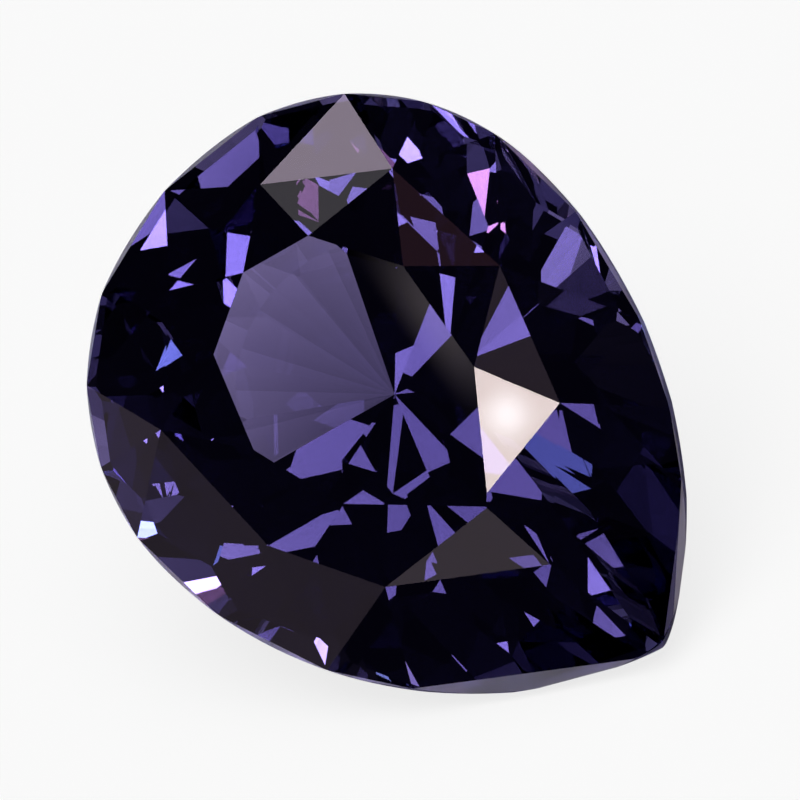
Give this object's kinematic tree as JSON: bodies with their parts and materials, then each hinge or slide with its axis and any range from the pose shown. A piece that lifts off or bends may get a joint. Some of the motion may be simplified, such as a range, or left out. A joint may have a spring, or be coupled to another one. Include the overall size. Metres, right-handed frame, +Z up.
{
  "type": "pear-cut spinel gemstone",
  "caption": "Loose pear-cut violet spinel, brilliant faceted over a thin girdle and a pointed pavilion, for setting in jewellery; lies on a pavilion facet.",
  "frame": {"origin": "centre of the bounding box at its bottom, on the surface the stone lies on", "axes": "+Z up, square to the pavilion facet that it rests on; the table leans to the front, towards -Y, and the point of the pear is the foremost end, low down and a little to +X"},
  "size_m": [0.0072, 0.0078, 0.0052],
  "materials": {
    "spinel": "polished, transparent, refractive index 1.718"
  },
  "bodies": {
    "root": {"gemstone": "spinel"}
  },
  "joints": []
}
